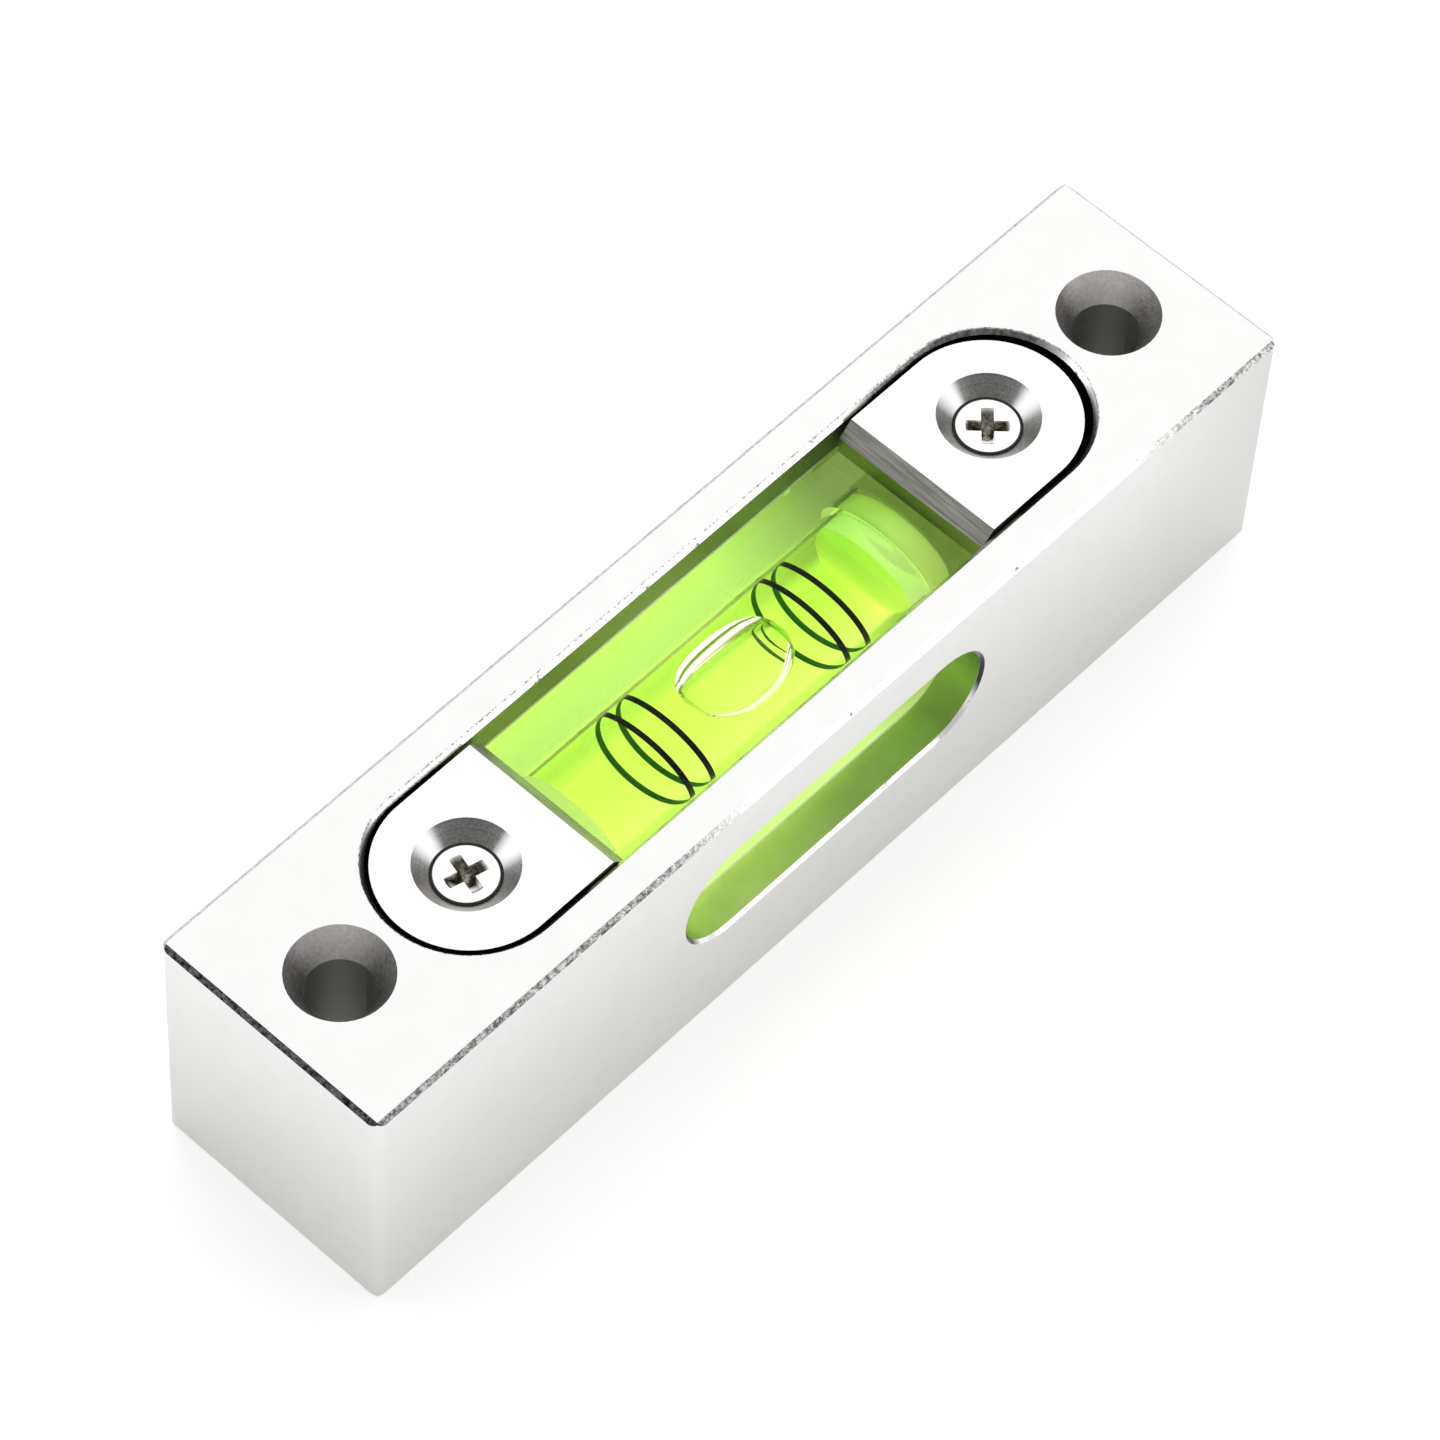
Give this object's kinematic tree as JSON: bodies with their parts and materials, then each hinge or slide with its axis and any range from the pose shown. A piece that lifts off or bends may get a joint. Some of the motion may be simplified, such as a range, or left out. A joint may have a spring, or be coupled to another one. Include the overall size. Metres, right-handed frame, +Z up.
{
  "type": "magnetic spirit level",
  "caption": "Pocket spirit level: aluminium bar with a clear block vial clamped in its top, a window in its front side, mounting holes at its ends and magnets in its base.",
  "frame": {"origin": "middle of the base", "axes": "+X along the bar, +Y away from the side window, +Z up"},
  "size_m": [0.1, 0.0226, 0.0253],
  "materials": {
    "bead_blasted_aluminium": "matt",
    "milled_aluminium": "satin",
    "nickel_plated_steel": "satin",
    "clear_acrylic": "gloss",
    "yellow_green_liquid": "gloss",
    "air": "gloss",
    "green_plastic": "satin",
    "clear_resin": "gloss",
    "black_ink": "matt",
    "nickel_plated_magnet": "satin"
  },
  "bodies": {
    "bar": {"body": "bead_blasted_aluminium", "clamp_plate_left": "milled_aluminium", "clamp_plate_right": "milled_aluminium", "clamp_screw_left": "nickel_plated_steel", "clamp_screw_right": "nickel_plated_steel", "vial_block": "clear_acrylic", "vial_liquid": "yellow_green_liquid", "stopper": "green_plastic", "resin_seal": "clear_resin", "ring_1": "black_ink", "ring_2": "black_ink", "ring_3": "black_ink", "ring_4": "black_ink", "magnet_1": "nickel_plated_magnet", "magnet_2": "nickel_plated_magnet", "magnet_3": "nickel_plated_magnet", "magnet_4": "nickel_plated_magnet"},
    "air_bubble": {"bubble": "air"}
  },
  "joints": [
    {"name": "bubble_slide", "type": "slide", "parent": "bar", "child": "air_bubble", "axis": [1, 0, 0], "range_m": [-0.008, 0.008], "stiffness_N_per_m": 2}
  ]
}
